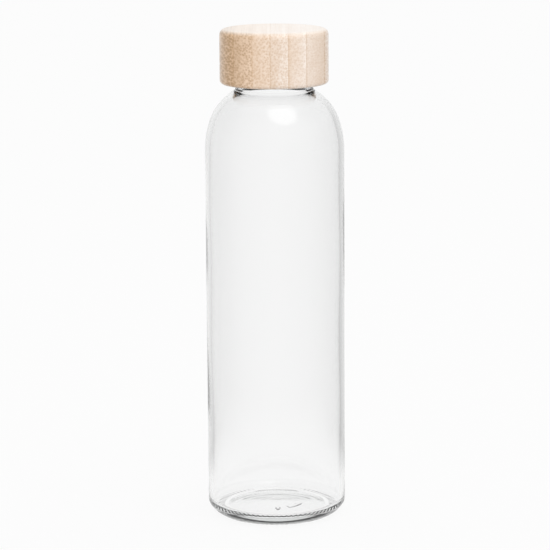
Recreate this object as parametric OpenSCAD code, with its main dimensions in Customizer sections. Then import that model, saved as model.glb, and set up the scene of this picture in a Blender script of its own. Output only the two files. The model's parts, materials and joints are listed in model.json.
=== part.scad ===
// Half-litre drinking bottle of clear glass with a screw cap turned from laminated bamboo.
// The bottle stands on the XY plane with its axis on +Z. The cap is drawn screwed home.

/* [Glass body] */
// Outside diameter of the straight body
body_d = 65; // [60:0.5:70]
// Thickness of the glass in the straight body
wall_t = 2.5; // [2:0.1:3.5]
// Height of the straight body's top, where the shoulder begins
shoulder_z = 173.6; // [140:0.2:190]
// Radius of the shoulder's long lower arc
shoulder_long_r = 45.9; // [42:0.1:52]
// Angle turned by the long lower arc, in degrees
shoulder_long_deg = 19; // [14:1:22]
// Radius of the shoulder's short upper arc
shoulder_short_r = 24.5; // [23:0.1:26]
// Outside diameter of the plain neck above the shoulder
neck_d = 36.2; // [35.8:0.1:36.4]
// Radius of the hollow fillet between the shoulder and the neck
neck_fillet_r = 2.2; // [1.5:0.1:3]
// Diameter of the mouth's bore
mouth_d = 30.8; // [30:0.1:31]
// Extra thickness of the glass where the shoulder meets the neck
root_extra_t = 0.8; // [0:0.1:1.2]

/* [Glass base] */
// Height at which the body turns in to the heel
heel_z = 6.6; // [5.5:0.1:6.9]
// Radius of the tight corner between the body and the heel
heel_corner_r = 2.9; // [2.2:0.1:4]
// Angle turned by the tight corner, in degrees
heel_corner_deg = 28.5; // [22:0.5:30]
// Radius of the heel below the corner
heel_r = 10.8; // [10.5:0.1:14]
// Width of the flat ring that the bottle stands on
bearing_w = 2.6; // [2:0.1:3.5]
// Depth of the push-up under the base, at its centre
punt_depth = 2; // [1.5:0.1:3]
// Height of the inside floor at its edge
floor_edge_z = 5; // [4.8:0.1:7]
// Height of the inside floor at its centre
floor_mid_z = 6; // [5.8:0.1:8]
// Inside rounding between the floor and the wall
floor_round_r = 3; // [2.5:0.1:5]
// Number of knurl notches round the bearing ring's outer edge
knurl_count = 72; // [48:12:96]

/* [Screw finish] */
// Height of the glass rim
rim_z = 221; // [219:0.5:222]
// Lead of the one-start thread
thread_pitch = 4.233; // [4:0.001:4.5]
// Turns of thread on the glass and in the insert
thread_turns = 1.5; // [1:0.25:1.5]
// Diameter over the glass thread
glass_crest_d = 37.2; // [36.8:0.1:37.4]
// Diameter at the foot of the glass thread
glass_root_d = 34.9; // [34.5:0.1:35.1]

/* [Bamboo cap] */
// Outside diameter of the cap
cap_d = 50.6; // [48:0.2:54]
// Height of the cap
cap_h = 25.5; // [25:0.1:26]
// Gap between the cap's foot and the straight neck's foot
cap_gap = 1.6; // [1:0.1:2]
// Rounding of the cap's top edge
cap_top_round = 2.8; // [2:0.1:4]
// Rounding of the cap's bottom edge
cap_foot_round = 1.8; // [1:0.1:2]
// Thickness of bamboo above the insert
cap_roof_t = 6; // [5:0.1:6]
// Width of one bamboo strip
strip_w = 8.3; // [8.2:0.05:8.4]
// Distance of the first glue line from the axis, towards -X
first_glue_line = 18.5; // [18.3:0.1:18.7]

/* [Thread insert] */
// Diameter of the bore cut into the bamboo
pocket_d = 42.2; // [42:0.1:43]
// Outside diameter of the insert's skirt
insert_d = 41.2; // [41:0.1:41.4]
// Inside diameter of the insert's skirt
insert_bore_d = 38; // [38:0.1:38.2]
// Diameter inside the insert's thread
insert_crest_d = 35.7; // [35.7:0.05:35.9]
// Thickness of the insert's roof
insert_roof_t = 1.5; // [1:0.1:2]
// Number of grip ribs round the insert
grip_ribs = 24; // [12:4:36]

/* [Sealing ring] */
// Outside diameter of the silicone ring
seal_d = 37.3; // [36:0.1:37.4]
// Inside diameter of the silicone ring
seal_bore_d = 29; // [28.8:0.1:29.4]

/* [Hidden] */
strip_count = 7;
strips = [for (i = [1:strip_count]) str("bamboo_strip_", i)];

face_gap = 0.05;
collar_h = 5.5;
collar_drop = 0.65;
rim_round = 0.9;
thread_steps = 40;
run_in_deg = 35;
thread_bury = 0.5;
glass_thread_z = 211.6;
thread_bias = 0.35;
insert_thread_skip = 0.18;
notch_r = 0.8;
notch_depth = 0.45;
notch_start = 0.5;
notch_len = 4.3;
notch_slope_deg = 22;
mark_r = 11.5;
mark_z = 1.05;
mark_h = 1.3;

body_r = body_d / 2;
bore_r = body_r - wall_t;
heel_mid_r = body_r - heel_corner_r - (heel_r - heel_corner_r) * cos(heel_corner_deg);
heel_mid_z = heel_z + (heel_r - heel_corner_r) * sin(heel_corner_deg);
heel_end_deg = asin(heel_mid_z / heel_r);
bearing_r = heel_mid_r + heel_r * cos(heel_end_deg);
neck_z = fillet_z(body_r, shoulder_long_r, shoulder_short_r, neck_d / 2, neck_fillet_r);
cap_foot_z = neck_z + cap_gap;
cap_top_z = cap_foot_z + cap_h;
pocket_z = cap_top_z - cap_roof_t;
insert_roof_z = pocket_z - insert_roof_t;

// Points along an arc round (cr, cz), from angle a0 to angle a1
function arc(cr, cz, r, a0, a1, n) =
    [for (i = [0:n]) let (a = a0 + (a1 - a0) * i / n) [cr + r * cos(a), cz + r * sin(a)]];

// Centre of the shoulder's short arc, where it runs on from the long arc
function short_r0(wall_r, long_r, short_r) =
    wall_r - long_r + (long_r - short_r) * cos(shoulder_long_deg);
function short_z0(long_r, short_r) = shoulder_z + (long_r - short_r) * sin(shoulder_long_deg);

// Height of the neck fillet's centre, which touches both the short arc and the neck
function fillet_z(wall_r, long_r, short_r, neck_r, fillet_r) =
    short_z0(long_r, short_r)
    + sqrt(pow(short_r + fillet_r, 2)
           - pow(neck_r + fillet_r - short_r0(wall_r, long_r, short_r), 2));

// One side of the shoulder: a long arc, a short arc and a hollow fillet into the neck
function shoulder(wall_r, long_r, short_r, neck_r, fillet_r) =
    let (r0 = short_r0(wall_r, long_r, short_r),
         z0 = short_z0(long_r, short_r),
         fr = neck_r + fillet_r,
         fz = fillet_z(wall_r, long_r, short_r, neck_r, fillet_r),
         meet = atan2(fz - z0, fr - r0))
    concat(arc(wall_r - long_r, shoulder_z, long_r, 0, shoulder_long_deg, 5),
           arc(r0, z0, short_r, shoulder_long_deg, meet, 12),
           arc(fr, fz, fillet_r, 180 + meet, 180, 6));

// Outside of the glass, from the bearing ring up to the rim
function glass_outside() =
    let (root_r = glass_root_d / 2, collar_z = neck_z + collar_h)
    concat(arc(heel_mid_r, heel_mid_z, heel_r, -heel_end_deg, -heel_corner_deg, 8),
           arc(body_r - heel_corner_r, heel_z, heel_corner_r, -heel_corner_deg, 0, 4),
           shoulder(body_r, shoulder_long_r, shoulder_short_r, neck_d / 2, neck_fillet_r),
           [[neck_d / 2, collar_z], [root_r, collar_z + collar_drop]],
           arc(root_r - rim_round, rim_z - rim_round, rim_round, 0, 90, 5));

// Inside of the glass, from the rim down to the middle of the floor
function glass_inside() =
    let (down = shoulder(bore_r, shoulder_long_r - wall_t, shoulder_short_r - wall_t - root_extra_t,
                         mouth_d / 2, neck_fillet_r),
         last = len(down) - 1)
    concat(arc(mouth_d / 2 + rim_round, rim_z - rim_round, rim_round, 90, 180, 5),
           [for (i = [0:last]) down[last - i]],
           arc(bore_r - floor_round_r, floor_edge_z + floor_round_r, floor_round_r, 0, -80, 7),
           [[0, floor_mid_z]]);

// Underside of the base, a shallow dome from the middle out to the bearing ring
function punt() =
    let (edge_r = bearing_r - bearing_w,
         dome_r = (edge_r * edge_r + punt_depth * punt_depth) / (2 * punt_depth))
    concat([[0, punt_depth]],
           [for (i = [1:8]) let (r = edge_r * i / 8)
                [r, punt_depth - dome_r + sqrt(dome_r * dome_r - r * r)]]);

// A helical ridge on radius root_r that stands out to crest_r, with ends that run in
module thread(root_r, crest_r, foot_w, crest_w, turns) {
    out = sign(crest_r - root_r);
    count = round(turns * thread_steps);
    function rise(i) = min(1, min(i, count - i) * 360 / thread_steps / run_in_deg);
    function tip(i) = root_r - out * 0.3 + (crest_r - root_r + out * 0.3) * rise(i);
    function section(i) = [[root_r - out * thread_bury, -foot_w / 2], [root_r - out * 0.35, -foot_w / 2],
                           [tip(i), -crest_w / 2], [tip(i), crest_w / 2],
                           [root_r - out * 0.35, foot_w / 2], [root_r - out * thread_bury, foot_w / 2]];
    points = [for (i = [0:count]) let (a = 360 * i / thread_steps, z = thread_pitch * i / thread_steps)
                  for (p = section(i)) [p[0] * cos(a), p[0] * sin(a), p[1] + z]];
    sides = [for (i = [0:count - 1]) for (k = [0:5]) let (n = (k + 1) % 6)
                 [6 * i + k, 6 * i + n, 6 * i + 6 + n, 6 * i + 6 + k]];
    ends = [[5, 4, 3, 2, 1, 0], [for (k = [0:5]) 6 * count + k]];
    faces = concat(sides, ends);
    polyhedron(points, out > 0 ? faces : [for (f = faces) [for (k = [len(f) - 1:-1:0]) f[k]]]);
}

// Notches that start just inside the bearing ring's outer edge and slope up across the heel
module knurl() {
    for (i = [0:knurl_count - 1])
        rotate((i + 0.5) * 360 / knurl_count)
            translate([bearing_r - notch_start, 0, notch_depth / 2 - notch_r])
                rotate([0, 90 - notch_slope_deg, 0])
                    cylinder(h = notch_len, r = notch_r, $fn = 24);
}

// Plain mould marks on the underside: a round dot and a curved bar
module mould_marks() {
    translate([0.5, -mark_r, mark_z])
        cylinder(h = mark_h, r = 0.9, $fn = 32);
    rotate(-62)
        rotate_extrude(angle = 44, $fn = 96)
            translate([mark_r - 1.2, mark_z])
                square([1.2, mark_h]);
}

module glass_bottle() {
    color("lightcyan", 0.4) {
        difference() {
            rotate_extrude($fn = 96)
                polygon(concat(punt(), glass_outside(), glass_inside()));
            knurl();
        }
        mould_marks();
        translate([0, 0, glass_thread_z])
            thread(glass_root_d / 2, glass_crest_d / 2, 2.2, 1, thread_turns);
    }
}

// The turned cap before it is split along its glue lines
module cap_blank() {
    r = cap_d / 2;
    rotate_extrude($fn = 96)
        polygon(concat([[0, pocket_z], [pocket_d / 2, pocket_z], [pocket_d / 2, cap_foot_z]],
                       arc(r - cap_foot_round, cap_foot_z + cap_foot_round, cap_foot_round, -90, 0, 5),
                       arc(r - cap_top_round, cap_top_z - cap_top_round, cap_top_round, 0, 90, 7),
                       [[0, cap_top_z]]));
}

// One strip of the laminated cap, counted from -X
module bamboo_strip(i) {
    x0 = i == 1 ? -cap_d : -first_glue_line + (i - 2) * strip_w;
    x1 = i == strip_count ? cap_d : -first_glue_line + (i - 1) * strip_w;
    shade = i % 2 == 0 ? "burlywood" : "wheat";
    color(shade)
        intersection() {
            cap_blank();
            translate([x0, -cap_d, cap_foot_z - 1])
                cube([x1 - x0, 2 * cap_d, cap_h + 2]);
        }
}

module thread_insert() {
    foot_z = cap_foot_z + 0.4;
    outer_r = insert_d / 2;
    inner_r = insert_bore_d / 2;
    locator_r = seal_bore_d / 2 - 0.4;
    color("white") {
        rotate_extrude($fn = 96)
            polygon([[0, insert_roof_z], [locator_r - 0.9, insert_roof_z],
                     [locator_r - 0.9, insert_roof_z - 1.2], [locator_r, insert_roof_z - 1.2],
                     [locator_r, insert_roof_z], [inner_r, insert_roof_z], [inner_r, foot_z + 0.6],
                     [inner_r + 0.5, foot_z], [outer_r - 0.3, foot_z], [outer_r, foot_z + 0.3],
                     [outer_r, pocket_z - face_gap], [0, pocket_z - face_gap]]);
        for (i = [0:grip_ribs - 1])
            rotate(i * 360 / grip_ribs)
                translate([outer_r - 0.5, -0.5, foot_z + 1.5])
                    cube([0.9, 1, pocket_z - foot_z - 2]);
        rotate(360 * insert_thread_skip)
            translate([0, 0, glass_thread_z + thread_pitch * (insert_thread_skip - 0.5) + thread_bias])
                thread(insert_bore_d / 2, insert_crest_d / 2, 1.9, 0.8, thread_turns);
    }
}

module sealing_ring() {
    color("whitesmoke")
        translate([0, 0, rim_z + face_gap])
            difference() {
                cylinder(h = insert_roof_z - rim_z - 2 * face_gap, r = seal_d / 2, $fn = 96);
                translate([0, 0, -1])
                    cylinder(h = 6, r = seal_bore_d / 2, $fn = 96);
            }
}

glass_bottle();
for (i = [1:strip_count])
    bamboo_strip(i);
thread_insert();
sealing_ring();
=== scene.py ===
"""Looks of a glass water bottle with a laminated bamboo screw cap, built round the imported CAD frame."""

import json
import math

import bmesh
import bpy
import numpy as np
from mathutils import Matrix, Vector


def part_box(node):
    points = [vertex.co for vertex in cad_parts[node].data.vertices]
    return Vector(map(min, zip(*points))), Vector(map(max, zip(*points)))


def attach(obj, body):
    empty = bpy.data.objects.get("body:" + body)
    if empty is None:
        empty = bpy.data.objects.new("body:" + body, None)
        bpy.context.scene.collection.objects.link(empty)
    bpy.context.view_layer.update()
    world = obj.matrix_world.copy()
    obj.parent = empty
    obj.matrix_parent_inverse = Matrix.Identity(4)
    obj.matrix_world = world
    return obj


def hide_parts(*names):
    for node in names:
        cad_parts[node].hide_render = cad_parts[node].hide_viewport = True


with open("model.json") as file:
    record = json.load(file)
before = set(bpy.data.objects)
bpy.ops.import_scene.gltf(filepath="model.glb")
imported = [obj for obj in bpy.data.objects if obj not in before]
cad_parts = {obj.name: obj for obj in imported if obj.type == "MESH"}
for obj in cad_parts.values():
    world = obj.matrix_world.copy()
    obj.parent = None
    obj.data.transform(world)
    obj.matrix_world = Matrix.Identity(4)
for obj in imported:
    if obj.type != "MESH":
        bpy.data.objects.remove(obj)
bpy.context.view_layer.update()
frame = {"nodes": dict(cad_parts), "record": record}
MM = 0.001
TAU = 2 * math.pi

# Places and sizes that the frame gives
glass_lo, glass_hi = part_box("glass_bottle")
insert_lo, insert_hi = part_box("thread_insert")
seal_lo, seal_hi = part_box("sealing_ring")
STRIPS = sorted(n for n in frame["nodes"] if n.startswith("bamboo_strip_"))
strip_boxes = [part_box(n) for n in STRIPS]
cap_foot = min(lo.z for lo, hi in strip_boxes)
cap_top = max(hi.z for lo, hi in strip_boxes)
CAP_R = max(hi.y for lo, hi in strip_boxes)
BODY_R = glass_hi.x
RIM_Z = glass_hi.z
PITCH = TAU * frame["record"]["behaviour"]["couplings"][0]["ratio"]

# Shape of the glass, as the CAD model has it
WALL = 2.5 * MM
SHOULDER_Z = 173.6 * MM
LONG_R, LONG_DEG, SHORT_R = 45.9 * MM, 19, 24.5 * MM
NECK_R, NECK_FILLET = 18.1 * MM, 2.2 * MM
MOUTH_R, ROOT_EXTRA = 15.4 * MM, 0.8 * MM
HEEL_Z, CORNER_R, CORNER_DEG, HEEL_R = 6.6 * MM, 2.9 * MM, 28.5, 10.8 * MM
BEARING_W, PUNT = 2.6 * MM, 2 * MM
FLOOR_EDGE_Z, FLOOR_MID_Z, FLOOR_ROUND = 5 * MM, 6 * MM, 3 * MM
RIM_ROUND = 0.9 * MM
COLLAR_H, COLLAR_DROP = 5.5 * MM, 0.65 * MM
ROOT_R, CREST_R = 17.45 * MM, 18.6 * MM
GLASS_THREAD_Z, THREAD_TURNS, RUN_IN = 211.6 * MM, 1.5, 35 / 360
THREAD_FOOT_W, THREAD_CREST_W = 2.2 * MM, 1.0 * MM
COLUMNS = 360

# Notches of the knurl, which run from just inside the bearing ring's outer edge to some way up the heel
KNURLS, KNURL_DEPTH, KNURL_TOP_Z = 72, 0.45 * MM, 2.5 * MM
KNURL_START, KNURL_END, KNURL_FADE = -0.6 * MM, 3.6 * MM, 2 * MM

# Waves of the inside wall, each with its count round the bottle, its twist per metre, its phase and its share
WAVE_DEPTH, WAVE_FADE = 0.07 * MM, 20 * MM
WAVES = [(2, 40, 0, 1), (3, -65, 1.3, 0.6), (5, 90, 0.4, 0.5)]

# Mould marks on the underside: the stations that they take, and a dot and a curved bar as they are seen
MARK_IN, MARK_OUT, MARK_H = 8.8 * MM, 13.6 * MM, 0.7 * MM
DOT_X, DOT_Y, DOT_R = 0.5 * MM, -11.5 * MM, 0.8 * MM
BAR_R, BAR_W, BAR_MID_DEG, BAR_HALF_DEG = 10.9 * MM, MM, 320, 20

# Shape of the cap's liner
LINER_R, LINER_BORE_R, LINER_CREST_R = 20.6 * MM, 19.0 * MM, 17.85 * MM
LOCATOR_R, LOCATOR_DROP, LOCATOR_W = 14.1 * MM, 1.2 * MM, 0.9 * MM
LINER_RIBS, RIB_H, LINER_EDGE = 24, 0.4 * MM, 0.3 * MM
SEAL_BORE_R, SEAL_ROUND = 14.5 * MM, 0.35 * MM

# Shape of the bamboo cap
CAP_TOP_ROUND, CAP_FOOT_ROUND = 2.8 * MM, 1.8 * MM
POCKET_R, CAP_ROOF = 21.1 * MM, 6 * MM

# Light of the studio. BEHIND is the way from the camera to what stands behind the bottle.
BEHIND = (-0.12, 0.99, 0)
HORIZON, WORLD_LEFT, WORLD_RIGHT = 0.97, 0.85, 1.28
FLOOR_GLOW, FLOOR_ALBEDO, FLOOR_R = 0.92, 0.05, 9
NEAR_R, FAR_R = 0.08, 0.3
# What the glass mirrors, from straight in front of the bottle at 0 to straight behind it at 1
MIRRORED = [(0.0, 0.72), (0.2, 0.62), (0.5, 0.42), (0.72, 0.5), (0.92, 0.8), (1.0, 1.0)]
BOUNCES = 48

# Bamboo: each strip's tone and warmth at its left, then at its right, and the strength of its fibre dots.
# The tones are the strips' own colour together with painted shade: darker on the left strips and again on
# the right ones, where the light falls off round the cap.
STRIP_TONES_AND_SHADE = [
    ((0.70, 0.95), (0.74, 1.1), 1.3),
    ((0.72, 1.02), (0.94, 0.76), 0.64),
    ((0.86, 0.74), (0.92, 0.52), 0.44),
    ((0.85, 0.56), (0.94, 0.34), 0.39),
    ((0.82, 0.62), (0.94, 0.3), 0.24),
    ((0.87, 0.42), (0.78, 0.59), 0.17),
    ((0.77, 0.60), (0.83, 0.38), 0.45),
]
# Colour of the painted highlight on the cap's top face, as if lit from above
PAINTED_TOP_HIGHLIGHT = (0.93, 0.88, 0.82, 1)
GLUE_W, FAR_GLUE_W = 0.7 * MM, 0.35 * MM


def arc(cr, cz, r, a0, a1, n):
    """Points of an arc round (cr, cz), from angle a0 to angle a1 in degrees."""
    angles = [math.radians(a0 + (a1 - a0) * i / n) for i in range(n + 1)]
    return [(cr + r * math.cos(a), cz + r * math.sin(a)) for a in angles]


def line(p, q, step):
    """Points from p to q, without p, at most step apart."""
    n = max(1, math.ceil(math.dist(p, q) / step))
    return [(p[0] + (q[0] - p[0]) * i / n, p[1] + (q[1] - p[1]) * i / n) for i in range(1, n + 1)]


def shoulder(wall_r, long_r, short_r, neck_r, fillet_r):
    """A long arc, a short arc and a hollow fillet that runs into the neck."""
    turn = math.radians(LONG_DEG)
    r0 = wall_r - long_r + (long_r - short_r) * math.cos(turn)
    z0 = SHOULDER_Z + (long_r - short_r) * math.sin(turn)
    fr = neck_r + fillet_r
    fz = z0 + math.sqrt((short_r + fillet_r) ** 2 - (fr - r0) ** 2)
    meet = math.degrees(math.atan2(fz - z0, fr - r0))
    return (
        arc(wall_r - long_r, SHOULDER_Z, long_r, 0, LONG_DEG, 7)
        + arc(r0, z0, short_r, LONG_DEG, meet, 24)[1:]
        + arc(fr, fz, fillet_r, 180 + meet, 180, 8)[1:]
    )


def glass_profile():
    """Stations (r, z) from the middle of the underside, over the outside and the rim, to the inside floor."""
    turn = math.radians(CORNER_DEG)
    mid_r = BODY_R - CORNER_R - (HEEL_R - CORNER_R) * math.cos(turn)
    mid_z = HEEL_Z + (HEEL_R - CORNER_R) * math.sin(turn)
    end = math.asin(mid_z / HEEL_R)
    bearing_r = mid_r + HEEL_R * math.cos(end)
    edge_r = bearing_r - BEARING_W
    dome_r = (edge_r**2 + PUNT**2) / (2 * PUNT)
    steps = [(0, 0)] + line((0, 0), (MARK_IN, 0), 2.2 * MM) + line((MARK_IN, 0), (MARK_OUT, 0), 0.3 * MM)
    steps += line((MARK_OUT, 0), (edge_r, 0), 1.6 * MM)
    punt = [(r, PUNT - dome_r + math.sqrt(dome_r**2 - r * r)) for r, _ in steps]
    heel = arc(mid_r, mid_z, HEEL_R, -math.degrees(end), -CORNER_DEG, 14)
    corner = arc(BODY_R - CORNER_R, HEEL_Z, CORNER_R, -CORNER_DEG, 0, 7)
    outer = punt + line(punt[-1], heel[0], 0.5 * MM)[:-1] + heel + corner[1:]
    outer += line(outer[-1], (BODY_R, SHOULDER_Z), 16 * MM)[:-1]
    outer += shoulder(BODY_R, LONG_R, SHORT_R, NECK_R, NECK_FILLET)
    collar = (NECK_R, outer[-1][1] + COLLAR_H)
    outer += line(outer[-1], collar, 1.2 * MM)
    outer += line(collar, (ROOT_R, collar[1] + COLLAR_DROP), 0.2 * MM)
    outer += line(outer[-1], (ROOT_R, RIM_Z - RIM_ROUND), 0.25 * MM)
    outer += arc(ROOT_R - RIM_ROUND, RIM_Z - RIM_ROUND, RIM_ROUND, 0, 90, 5)[1:]
    bore_r = BODY_R - WALL
    down = shoulder(bore_r, LONG_R - WALL, SHORT_R - WALL - ROOT_EXTRA, MOUTH_R, NECK_FILLET)[::-1]
    inner = arc(MOUTH_R + RIM_ROUND, RIM_Z - RIM_ROUND, RIM_ROUND, 90, 180, 5)
    inner += line(inner[-1], down[0], 3 * MM)[:-1] + down
    wall_foot = (bore_r, FLOOR_EDGE_Z + FLOOR_ROUND)
    inner += line(inner[-1], wall_foot, 9 * MM)[:-1]
    inner += arc(bore_r - FLOOR_ROUND, wall_foot[1], FLOOR_ROUND, 0, -80, 12)
    inner += line(inner[-1], (0, FLOOR_MID_Z), 2.6 * MM)
    return outer, inner, bearing_r


def smooth(t):
    """0 below 0, 1 above 1 and a soft step between."""
    t = np.clip(t, 0, 1)
    return t * t * (3 - 2 * t)


def ridge(theta, z, z_start, foot_w, crest_w):
    """Height, from 0 to 1, of a helical thread at angles theta and height z."""
    height = np.zeros_like(theta)
    for lap in range(-1, 3):
        turns = theta / TAU + lap
        along = np.minimum(turns, THREAD_TURNS - turns)
        off = np.abs(z - z_start - PITCH * turns)
        flank = smooth((foot_w / 2 - off) / (foot_w / 2 - crest_w / 2))
        height = np.maximum(height, flank * smooth(along / RUN_IN))
    return height


def lathe(name, rows, shape=None):
    """A closed mesh turned from rows of (r, z). shape changes a row's radii and heights by angle.
    A row on the axis is one point, and a profile that never meets the axis closes on itself."""
    theta = np.linspace(0, TAU, COLUMNS, endpoint=False)
    verts, rings = [], []
    for i, (r, z) in enumerate(rows):
        if r < 1e-7:
            rings.append([len(verts)])
            verts.append((0, 0, z))
            continue
        radii, heights = np.full(COLUMNS, r), np.full(COLUMNS, z)
        if shape:
            radii, heights = shape(i, theta, radii, heights)
        rings.append(list(range(len(verts), len(verts) + COLUMNS)))
        verts.extend(zip(radii * np.cos(theta), radii * np.sin(theta), heights))
    faces = []
    pairs = list(zip(rings, rings[1:]))
    if len(rings[0]) > 1 and len(rings[-1]) > 1:
        pairs.append((rings[-1], rings[0]))
    for a, b in pairs:
        for k in range(COLUMNS):
            n = (k + 1) % COLUMNS
            if len(a) == 1:
                faces.append((a[0], b[n], b[k]))
            elif len(b) == 1:
                faces.append((a[k], a[n], b[0]))
            else:
                faces.append((a[k], a[n], b[n], b[k]))
    mesh = bpy.data.meshes.new(name)
    mesh.from_pydata([tuple(map(float, v)) for v in verts], [], faces)
    bm = bmesh.new()
    bm.from_mesh(mesh)
    bmesh.ops.recalc_face_normals(bm, faces=bm.faces)
    bm.to_mesh(mesh)
    bm.free()
    mesh.shade_smooth()
    piece = bpy.data.objects.new(name, mesh)
    bpy.context.scene.collection.objects.link(piece)
    return piece


def make_glass():
    """The blown bottle, with its thread, knurl and mould marks, and an inside wall that waves a little."""
    outer, inner, bearing_r = glass_profile()
    rows = outer + inner
    outer_count = len(outer)

    def shape(i, theta, r, z):
        radius, height = rows[i]
        if i < outer_count and height > SHOULDER_Z:
            step = CREST_R - ROOT_R
            r = r + step * ridge(theta, height, GLASS_THREAD_Z, THREAD_FOOT_W, THREAD_CREST_W)
        if i < outer_count and height < KNURL_TOP_Z and radius > 0.6 * bearing_r:
            band = smooth((radius - bearing_r - KNURL_START) / -KNURL_START)
            band = band * smooth((bearing_r + KNURL_END - radius) / KNURL_FADE)
            z = z + KNURL_DEPTH * band * smooth(0.5 - 0.9 * np.cos(KNURLS * theta))
        if i < outer_count and height < PUNT + 0.1 * MM and radius < 0.6 * bearing_r:
            x, y = radius * np.cos(theta), radius * np.sin(theta)
            dot = smooth(1.6 - np.hypot(x - DOT_X, (y - DOT_Y) / 2) / DOT_R)
            bar = smooth(1.7 - abs(radius - BAR_R) / BAR_W)
            bar = bar * smooth(1 - (np.abs(np.degrees(theta) - BAR_MID_DEG) - BAR_HALF_DEG) / 3)
            z = z - MARK_H * np.maximum(dot, bar)
        if i >= outer_count and WAVE_FADE < height < SHOULDER_Z:
            fade = smooth((height - WAVE_FADE) / WAVE_FADE) * smooth((SHOULDER_Z - height) / WAVE_FADE)
            for count, twist, phase, share in WAVES:
                r = r - WAVE_DEPTH * fade * share * np.sin(count * theta + twist * height + phase)
        return r, z

    return lathe("blown_glass_bottle", rows, shape)


def make_insert():
    """The cap's plastic liner, with its thread standing in from the bore."""
    foot, roof = insert_lo.z, insert_hi.z
    ceiling = seal_hi.z + 0.05 * MM
    locator_in = LOCATOR_R - LOCATOR_W
    rows = [(0, ceiling)] + line((0, ceiling), (locator_in, ceiling), 2 * MM)
    rows += [(locator_in, ceiling - LOCATOR_DROP), (LOCATOR_R, ceiling - LOCATOR_DROP)]
    rows += [(LOCATOR_R, ceiling)] + line((LOCATOR_R, ceiling), (LINER_BORE_R, ceiling), 1.2 * MM)
    rows += line((LINER_BORE_R, ceiling), (LINER_BORE_R, foot + 2 * LINER_EDGE), 0.14 * MM)
    rows += [(LINER_BORE_R + 0.5 * MM, foot), (LINER_R - LINER_EDGE, foot), (LINER_R, foot + LINER_EDGE)]
    rows += line(rows[-1], (LINER_R, roof - LINER_EDGE), 2 * MM) + [(LINER_R - LINER_EDGE, roof)]
    rows += line(rows[-1], (0, roof), 4 * MM)
    skip, bias = 0.18, 0.35 * MM
    start = GLASS_THREAD_Z + PITCH * (skip - 0.5) + bias
    step = LINER_BORE_R - LINER_CREST_R

    def shape(i, theta, r, z):
        radius, height = rows[i]
        if abs(radius - LINER_BORE_R) < 1e-6 and height < ceiling - 0.5 * MM:
            turned = np.mod(theta - TAU * skip, TAU)
            r = r - step * ridge(turned, height, start, 1.9 * MM, 0.8 * MM)
        if abs(radius - LINER_R) < 1e-6:
            r = r + RIB_H * smooth(4 * np.cos(LINER_RIBS * theta) - 2.6)
        return r, z

    return lathe("liner_of_cap", rows, shape)


def make_seal():
    """The flat silicone ring, with its edges softly rounded."""
    r0, r1, soft = SEAL_BORE_R, seal_hi.x, SEAL_ROUND
    z0, z1 = seal_lo.z, seal_hi.z
    rows = []
    for cr, cz, a in ((r1, z0, -90), (r1, z1, 0), (r0, z1, 90), (r0, z0, 180)):
        sr = -soft if cr == r1 else soft
        sz = soft if cz == z0 else -soft
        rows += arc(cr + sr, cz + sz, soft, a, a + 90, 5)
    return lathe("silicone_ring", rows)


def make_cap_blank():
    """The turned bamboo cap in one piece, as a bmesh, before it is cut along its glue lines."""
    pocket_z = cap_top - CAP_ROOF
    rows = [(0, pocket_z)] + line((0, pocket_z), (POCKET_R, pocket_z), 4 * MM)
    rows += line(rows[-1], (POCKET_R, cap_foot + 0.4 * MM), 3 * MM)
    rows += [(POCKET_R + 0.4 * MM, cap_foot)]
    rows += arc(CAP_R - CAP_FOOT_ROUND, cap_foot + CAP_FOOT_ROUND, CAP_FOOT_ROUND, -90, 0, 10)
    rows += line(rows[-1], (CAP_R, cap_top - CAP_TOP_ROUND), 3 * MM)[:-1]
    rows += arc(CAP_R - CAP_TOP_ROUND, cap_top - CAP_TOP_ROUND, CAP_TOP_ROUND, 0, 90, 14)
    rows += line(rows[-1], (0, cap_top), 3 * MM)
    return lathe("cap_blank", rows)


def cut_strip(blank, name, x0, x1):
    """The slab of the blank between x0 and x1, closed on its cut faces."""
    bm = bmesh.new()
    bm.from_mesh(blank.data)
    for x, side in ((x0, -1), (x1, 1)):
        if abs(x) > CAP_R - 0.1 * MM:
            continue
        everything = bm.verts[:] + bm.edges[:] + bm.faces[:]
        bmesh.ops.bisect_plane(
            bm, geom=everything, dist=1e-7, plane_co=(x, 0, 0), plane_no=(side, 0, 0), clear_outer=True
        )
        rim = [e for e in bm.edges if e.is_boundary]
        bmesh.ops.triangle_fill(bm, use_beauty=False, edges=rim)
    bmesh.ops.recalc_face_normals(bm, faces=bm.faces)
    mesh = bpy.data.meshes.new(name)
    bm.to_mesh(mesh)
    bm.free()
    mesh.shade_smooth()
    mesh.set_sharp_from_angle(angle=math.radians(35))
    piece = bpy.data.objects.new(name, mesh)
    bpy.context.scene.collection.objects.link(piece)
    return piece


def new_material(name):
    mat = bpy.data.materials.new(name)
    mat.use_nodes = True
    return mat, mat.node_tree, mat.node_tree.nodes["Principled BSDF"]


def map_range(tree, value, from_min, from_max, to_min, to_max, soft=False):
    """A Map Range node on a value. to_max may be a number or another node's output."""
    node = tree.nodes.new("ShaderNodeMapRange")
    node.interpolation_type = "SMOOTHSTEP" if soft else "LINEAR"
    node.inputs["From Min"].default_value = from_min
    node.inputs["From Max"].default_value = from_max
    node.inputs["To Min"].default_value = to_min
    if isinstance(to_max, bpy.types.NodeSocket):
        tree.links.new(to_max, node.inputs["To Max"])
    else:
        node.inputs["To Max"].default_value = to_max
    tree.links.new(value, node.inputs["Value"])
    return node.outputs["Result"]


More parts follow.
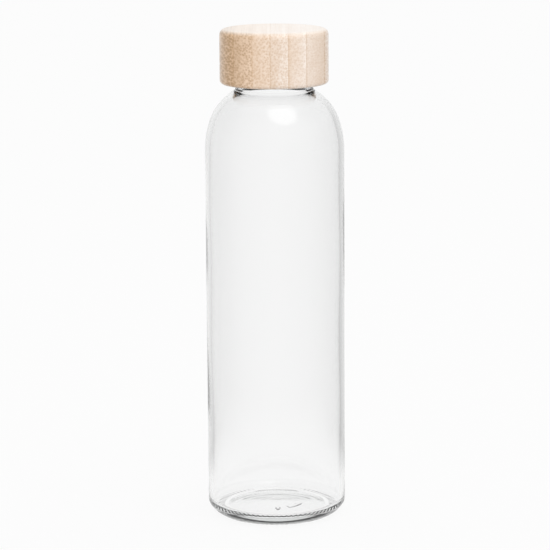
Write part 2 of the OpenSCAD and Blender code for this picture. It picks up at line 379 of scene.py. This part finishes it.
def glass_material():
    """Clear glass with a faint ripple, a little grey-green where it is thick."""
    mat, tree, shader = new_material("clear_glass")
    shader.inputs["Base Color"].default_value = (1, 1, 1, 1)
    shader.inputs["Transmission Weight"].default_value = 1
    shader.inputs["Roughness"].default_value = 0
    shader.inputs["IOR"].default_value = 1.5
    coord = tree.nodes.new("ShaderNodeTexCoord")
    noise = tree.nodes.new("ShaderNodeTexNoise")
    noise.inputs["Scale"].default_value = 22
    noise.inputs["Detail"].default_value = 2
    bump = tree.nodes.new("ShaderNodeBump")
    bump.inputs["Strength"].default_value = 0.03
    bump.inputs["Distance"].default_value = 0.002
    tree.links.new(coord.outputs["Object"], noise.inputs["Vector"])
    tree.links.new(noise.outputs["Fac"], bump.inputs["Height"])
    tree.links.new(bump.outputs["Normal"], shader.inputs["Normal"])
    depth = tree.nodes.new("ShaderNodeVolumeAbsorption")
    depth.inputs["Color"].default_value = (0.1, 0.16, 0.13, 1)
    depth.inputs["Density"].default_value = 5.5
    tree.links.new(depth.outputs["Volume"], tree.nodes["Material Output"].inputs["Volume"])
    return mat


def honey(tone, warmth):
    """The colour of bamboo at a tone from 0.4, dark, to 0.95, pale. The more warmth, the more yellow."""
    return (tone, tone * (1 - 0.30 * warmth), tone * (1 - 0.54 * warmth), 1)


def bamboo_material(name, left, right, dot_depth, x0, x1, seed):
    """Bamboo whose grain runs along Y: dots of cut fibre on the front, long fibres on the top and sides.
    Its tone and warmth run from left to right across the strip, with a darker glue line at each face; the
    tones carry painted shade as well as the bamboo's own colour. The top is painted paler where it faces
    up, a painted highlight for the light from above."""
    mat, tree, shader = new_material(name)
    nodes, links = tree.nodes, tree.links
    coord = nodes.new("ShaderNodeTexCoord")

    def stretched(scale):
        place = nodes.new("ShaderNodeMapping")
        place.inputs["Location"].default_value = (seed * 0.37, seed * 0.11, seed * 0.23)
        place.inputs["Scale"].default_value = scale
        links.new(coord.outputs["Object"], place.inputs["Vector"])
        return place.outputs["Vector"]

    def noise(scale, detail):
        made = nodes.new("ShaderNodeTexNoise")
        made.inputs["Scale"].default_value = 1
        made.inputs["Detail"].default_value = detail
        links.new(stretched(scale), made.inputs["Vector"])
        return made.outputs["Fac"]

    def remap(value, *limits):
        return map_range(tree, value, *limits)

    def total(a, b):
        add = nodes.new("ShaderNodeMath")
        add.operation = "ADD"
        links.new(a, add.inputs[0])
        links.new(b, add.inputs[1])
        return add.outputs[0]

    fibre = noise((1700, 40, 1700), 4)
    turning = noise((60, 60, 2400), 3)
    cloud = noise((160, 30, 45), 2)
    bundle = nodes.new("ShaderNodeTexVoronoi")
    bundle.inputs["Scale"].default_value = 1
    links.new(stretched((1000, 16, 1000)), bundle.inputs["Vector"])
    dots = remap(bundle.outputs["Distance"], 0.15, 0.75, dot_depth, 0)

    split = nodes.new("ShaderNodeSeparateXYZ")
    links.new(coord.outputs["Object"], split.inputs[0])
    across = remap(split.outputs["X"], x0, x1, 0, 1)
    wander = total(across, remap(cloud, 0.25, 0.75, -0.3, 0.3))
    # Tone across the strip: the bamboo's own colour with painted shade for the way light falls round the cap
    tone = nodes.new("ShaderNodeValToRGB")
    tone.color_ramp.elements[0].color = honey(*left)
    tone.color_ramp.elements[1].color = honey(*right)
    links.new(wander, tone.inputs["Fac"])

    glue = remap(split.outputs["X"], x0, x0 + GLUE_W, 0.3, 0)
    far_glue = remap(split.outputs["X"], x1 - FAR_GLUE_W, x1, 0, 0.16)
    grain = total(remap(fibre, 0.3, 0.7, 0, 0.22), remap(turning, 0.35, 0.7, 0, 0.1))
    shade = total(total(glue, far_glue), total(dots, grain))
    mix = nodes.new("ShaderNodeMix")
    mix.data_type = "RGBA"
    mix.inputs["B"].default_value = honey(0.66 * min(left, right)[0], 1.3)
    links.new(shade, mix.inputs["Factor"])
    links.new(tone.outputs["Color"], mix.inputs["A"])

    # Painted highlight: faces that point up are mixed towards a pale colour, standing in for light from above
    facing = nodes.new("ShaderNodeSeparateXYZ")
    links.new(coord.outputs["Normal"], facing.inputs[0])
    top = nodes.new("ShaderNodeMix")
    top.data_type = "RGBA"
    top.inputs["B"].default_value = PAINTED_TOP_HIGHLIGHT
    links.new(remap(facing.outputs["Z"], 0.5, 0.98, 0, 0.5), top.inputs["Factor"])
    links.new(mix.outputs["Result"], top.inputs["A"])
    links.new(top.outputs["Result"], shader.inputs["Base Color"])

    links.new(remap(fibre, 0.2, 0.8, 0.42, 0.6), shader.inputs["Roughness"])
    shader.inputs["Coat Weight"].default_value = 1
    shader.inputs["Coat Roughness"].default_value = 0.28
    bump = nodes.new("ShaderNodeBump")
    bump.invert = True
    bump.inputs["Strength"].default_value = 0.3
    bump.inputs["Distance"].default_value = 0.0002
    links.new(shade, bump.inputs["Height"])
    links.new(bump.outputs["Normal"], shader.inputs["Normal"])
    return mat


def moulded_material(name, colour, roughness, subsurface, scale):
    """A moulded plastic or rubber with a fine mottle in its colour, gloss and surface."""
    mat, tree, shader = new_material(name)
    nodes, links = tree.nodes, tree.links
    coord = nodes.new("ShaderNodeTexCoord")
    noise = nodes.new("ShaderNodeTexNoise")
    noise.inputs["Scale"].default_value = scale
    noise.inputs["Detail"].default_value = 5
    links.new(coord.outputs["Object"], noise.inputs["Vector"])
    ramp = nodes.new("ShaderNodeValToRGB")
    ramp.color_ramp.elements[0].color = (*[c * 0.93 for c in colour], 1)
    ramp.color_ramp.elements[1].color = (*colour, 1)
    links.new(noise.outputs["Fac"], ramp.inputs["Fac"])
    links.new(ramp.outputs["Color"], shader.inputs["Base Color"])
    rough = map_range(tree, noise.outputs["Fac"], 0, 1, roughness - 0.06, roughness + 0.1)
    links.new(rough, shader.inputs["Roughness"])
    bump = nodes.new("ShaderNodeBump")
    bump.inputs["Strength"].default_value = 0.15
    bump.inputs["Distance"].default_value = 0.0001
    links.new(noise.outputs["Fac"], bump.inputs["Height"])
    links.new(bump.outputs["Normal"], shader.inputs["Normal"])
    shader.inputs["Subsurface Weight"].default_value = subsurface
    shader.inputs["Subsurface Radius"].default_value = (0.002, 0.002, 0.002)
    shader.inputs["Subsurface Scale"].default_value = 1
    return mat


def add_softbox(name, place, aim, size, power):
    """A rectangular light that fades towards its corners, so that its mirror image has soft edges."""
    data = bpy.data.lights.new(name, "AREA")
    data.shape = "RECTANGLE"
    data.size, data.size_y = size
    data.energy = power
    data.use_nodes = True
    tree = data.node_tree
    spot = tree.nodes.new("ShaderNodeNewGeometry")
    centred = tree.nodes.new("ShaderNodeVectorMath")
    centred.operation = "DISTANCE"
    centred.inputs[1].default_value = (0.5, 0.5, 0)
    tree.links.new(spot.outputs["Parametric"], centred.inputs[0])
    fall = map_range(tree, centred.outputs["Value"], 0.3, 0.6, 1, 0, soft=True)
    tree.links.new(fall, tree.nodes["Emission"].inputs["Strength"])
    lamp = bpy.data.objects.new(name, data)
    lamp.location = place
    lamp.visible_camera = False
    lamp.rotation_euler = (Vector(aim) - Vector(place)).to_track_quat("-Z", "Y").to_euler()
    bpy.context.scene.collection.objects.link(lamp)
    return lamp


def make_camera():
    """A long lens, 1.3 m off and a little above the bottle, turned a hair so that the bottle leans left."""
    distance, elevation, roll = 1.3, math.radians(10.9), math.radians(0.365)
    aim = Vector((-0.0002, 0, 0.1145))
    back = Vector((0, -math.cos(elevation), math.sin(elevation)))
    data = bpy.data.cameras.new("camera")
    data.sensor_width = 36
    data.lens = 180.8
    camera = bpy.data.objects.new("camera", data)
    turn = (-back).to_track_quat("-Z", "Y").to_matrix().to_4x4()
    camera.matrix_world = Matrix.Translation(aim + back * distance) @ turn @ Matrix.Rotation(-roll, 4, "Z")
    bpy.context.scene.collection.objects.link(camera)
    bpy.context.scene.camera = camera


def reflection_level(tree, place):
    """1 for light that has met no mirror on its way. Where the glass mirrors the studio, a level that is
    bright behind the bottle and grey at its sides and front, as if by dark flags, and shows its form."""
    nodes, links = tree.nodes, tree.links
    behind = nodes.new("ShaderNodeVectorMath")
    behind.operation = "DOT_PRODUCT"
    behind.inputs[1].default_value = BEHIND
    links.new(place, behind.inputs[0])
    ramp = nodes.new("ShaderNodeValToRGB")
    elements = ramp.color_ramp.elements
    for i, (at, grey) in enumerate(MIRRORED):
        stop = elements[i] if i < 2 else elements.new(at)
        stop.position, stop.color = at, (grey, grey, grey, 1)
    links.new(map_range(tree, behind.outputs["Value"], -1, 1, 0, 1), ramp.inputs["Fac"])
    path = nodes.new("ShaderNodeLightPath")
    return map_range(tree, path.outputs["Glossy Depth"], 0, 1, 1, ramp.outputs["Color"])


def product(tree, a, b):
    """a times b, where b is a number or another node's output."""
    times = tree.nodes.new("ShaderNodeMath")
    times.operation = "MULTIPLY"
    tree.links.new(a, times.inputs[0])
    if isinstance(b, bpy.types.NodeSocket):
        tree.links.new(b, times.inputs[1])
    else:
        times.inputs[1].default_value = b
    return times.outputs[0]


def make_world():
    """A white surround, as pale as the table at the horizon and brighter towards the right above it."""
    world = bpy.data.worlds.new("studio")
    world.use_nodes = True
    tree = world.node_tree
    tree.nodes["Background"].inputs["Color"].default_value = (1, 1, 1, 1)
    coord = tree.nodes.new("ShaderNodeTexCoord")
    split = tree.nodes.new("ShaderNodeSeparateXYZ")
    tree.links.new(coord.outputs["Generated"], split.inputs[0])
    side = map_range(tree, split.outputs["X"], -1, 1, WORLD_LEFT, WORLD_RIGHT)
    height = map_range(tree, split.outputs["Z"], 0.1, 0.4, HORIZON, side, soft=True)
    level = product(tree, height, reflection_level(tree, coord.outputs["Generated"]))
    tree.links.new(level, tree.nodes["Background"].inputs["Strength"])
    bpy.context.scene.world = world


def make_floor():
    """A pale shooting table that glows from within, so that shadows on it stay faint. Near the bottle the
    glass mirrors it at its full level."""
    mesh = bpy.data.meshes.new("floor")
    bm = bmesh.new()
    bmesh.ops.create_circle(bm, cap_ends=True, segments=96, radius=FLOOR_R)
    bm.to_mesh(mesh)
    bm.free()
    floor = bpy.data.objects.new("floor", mesh)
    bpy.context.scene.collection.objects.link(floor)
    mat, tree, shader = new_material("pale_floor")
    shader.inputs["Base Color"].default_value = (FLOOR_ALBEDO, FLOOR_ALBEDO, FLOOR_ALBEDO, 1)
    shader.inputs["Roughness"].default_value = 1
    shader.inputs["Specular IOR Level"].default_value = 0
    shader.inputs["Emission Color"].default_value = (1, 1, 1, 1)
    coord = tree.nodes.new("ShaderNodeTexCoord")
    bearing = tree.nodes.new("ShaderNodeVectorMath")
    bearing.operation = "NORMALIZE"
    tree.links.new(coord.outputs["Object"], bearing.inputs[0])
    away = tree.nodes.new("ShaderNodeVectorMath")
    away.operation = "LENGTH"
    tree.links.new(coord.outputs["Object"], away.inputs[0])
    level = tree.nodes.new("ShaderNodeMath")
    level.operation = "MAXIMUM"
    tree.links.new(reflection_level(tree, bearing.outputs["Vector"]), level.inputs[0])
    tree.links.new(map_range(tree, away.outputs["Value"], NEAR_R, FAR_R, 1, 0), level.inputs[1])
    glow = product(tree, level.outputs[0], FLOOR_GLOW)
    tree.links.new(glow, shader.inputs["Emission Strength"])
    floor.data.materials.append(mat)


def dress(piece, material, body, slot, *nodes):
    """Give a piece its material, the body that it moves with and the CAD nodes that it replaces. The slot is
    not used.
    """
    piece.data.materials.append(material)
    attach(piece, body)
    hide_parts(*nodes)


make_camera()
make_world()
make_floor()
add_softbox("overhead_front", (0.19, -0.42, 0.97), (0, 0, 0.2), (0.78, 0.9), 2.6)

dress(make_glass(), glass_material(), "bottle", "clear_glass", "glass_bottle")
liner_white = moulded_material("liner_plastic", (0.86, 0.86, 0.84), 0.38, 0.25, 900)
dress(make_insert(), liner_white, "cap", "white_plastic", "thread_insert")
silicone = moulded_material("clear_silicone", (0.78, 0.8, 0.79), 0.45, 0.4, 400)
dress(make_seal(), silicone, "seal", "silicone", "sealing_ring")

blank = make_cap_blank()
for i, (node, (lo, hi)) in enumerate(zip(STRIPS, strip_boxes)):
    strip = cut_strip(blank, "turned_" + node, lo.x, hi.x)
    wood = bamboo_material("bamboo_" + str(i + 1), *STRIP_TONES_AND_SHADE[i], lo.x, hi.x, i)
    dress(strip, wood, "cap", "bamboo", node)
bpy.data.objects.remove(blank)

scene = bpy.context.scene
scene.view_settings.view_transform = "Standard"
scene.cycles.max_bounces = BOUNCES
scene.cycles.transmission_bounces = BOUNCES
